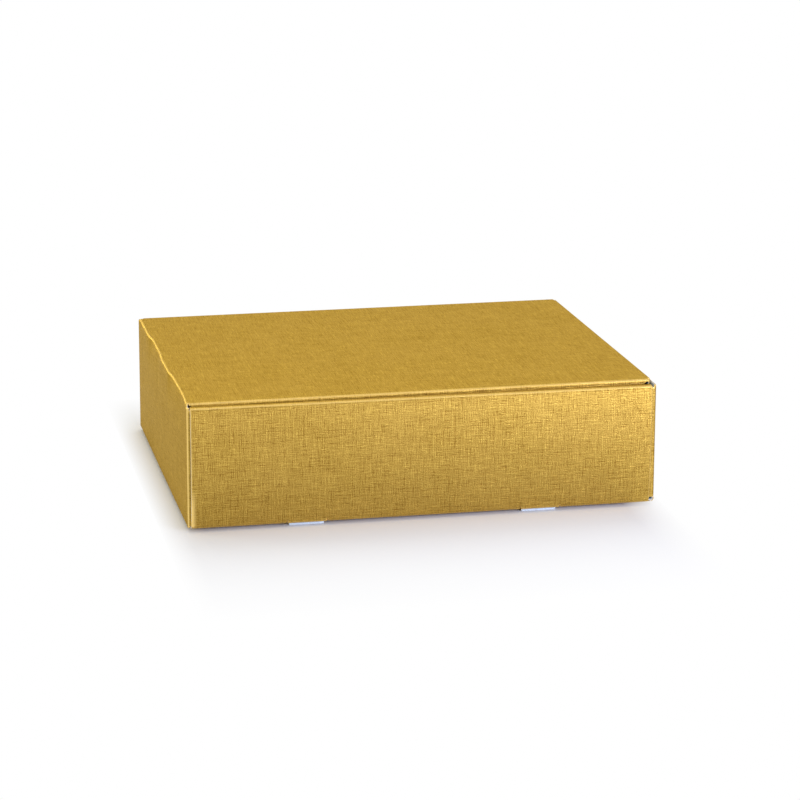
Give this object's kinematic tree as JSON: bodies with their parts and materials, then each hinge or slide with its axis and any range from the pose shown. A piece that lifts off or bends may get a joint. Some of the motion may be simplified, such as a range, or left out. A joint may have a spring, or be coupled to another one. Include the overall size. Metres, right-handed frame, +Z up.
{
  "type": "folded gift box",
  "caption": "Flat rectangular carton folded from one piece of thin board, with double long walls locked into the base, a hinged lid with dust flaps, and a tuck flap.",
  "frame": {"origin": "middle of the box's footprint, level with the tips of the four locking tabs that it stands on", "axes": "+X from the hinge wall to the tuck wall, +Y from the near long wall to the far one, +Z up"},
  "size_m": [0.38, 0.3, 0.1044],
  "materials": {
    "gold_board": "satin gold paper with a fine linen emboss, on thin corrugated board",
    "white_board": "matt white inner face and cut edges of the board"
  },
  "bodies": {
    "tray": {"base_panel": "gold_board", "hinge_wall": "gold_board", "tuck_wall": "gold_board", "near_outer_wall": "gold_board", "near_ridge": "gold_board", "near_inner_wall": "gold_board", "hinge_near_flap": "white_board", "tuck_near_flap": "white_board", "far_outer_wall": "gold_board", "far_ridge": "gold_board", "far_inner_wall": "gold_board", "hinge_far_flap": "white_board", "tuck_far_flap": "white_board"},
    "lid": {"lid_panel": "gold_board"},
    "near_dust_flap": {"near_dust_flap": "gold_board"},
    "far_dust_flap": {"far_dust_flap": "gold_board"},
    "tuck_flap": {"tuck_flap": "gold_board"}
  },
  "joints": [
    {"name": "lid_hinge", "type": "hinge", "parent": "tray", "child": "lid", "pos_m": [-0.18941, 0, 0.10241], "axis": [0, -1, 0], "range_deg": [0, 180]},
    {"name": "near_dust_flap_fold", "type": "hinge", "parent": "lid", "child": "near_dust_flap", "pos_m": [0, -0.141, 0.10158], "axis": [1, 0, 0.0038], "range_deg": [0, 85]},
    {"name": "far_dust_flap_fold", "type": "hinge", "parent": "lid", "child": "far_dust_flap", "pos_m": [0, 0.141, 0.10158], "axis": [-1, 0, -0.0038], "range_deg": [0, 85]},
    {"name": "tuck_flap_fold", "type": "hinge", "parent": "lid", "child": "tuck_flap", "pos_m": [0.1862, 0, 0.10244], "axis": [0, 1, 0], "range_deg": [0, 60]}
  ]
}
